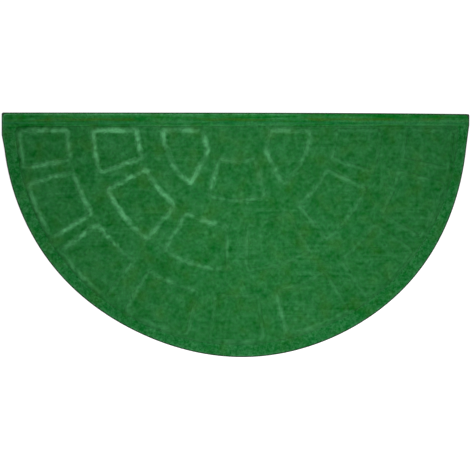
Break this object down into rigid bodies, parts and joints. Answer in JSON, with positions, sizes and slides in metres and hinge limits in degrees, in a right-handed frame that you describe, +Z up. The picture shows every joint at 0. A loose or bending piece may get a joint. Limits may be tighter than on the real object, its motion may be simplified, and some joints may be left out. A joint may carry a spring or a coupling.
{
  "type": "half round doormat",
  "caption": "Half round doormat: green felted face embossed with a fan of paving stones, bordered, on a thin dark rubber backing that rests flat on the floor.",
  "frame": {"origin": "centre of the mat's bounding box in X and Y, on the floor under the backing", "axes": "+X along the straight edge, the longest side; +Y towards the straight edge, so the curve bulges towards -Y; +Z up, out of the felted face"},
  "size_m": [0.7502, 0.3924, 0.0073],
  "materials": {
    "felt": "matt needled fibre, mottled green, paler on the raised ridges",
    "rubber": "matt near-black"
  },
  "bodies": {
    "root": {"rubber_backing": "rubber", "pile_face": "felt"}
  },
  "joints": []
}
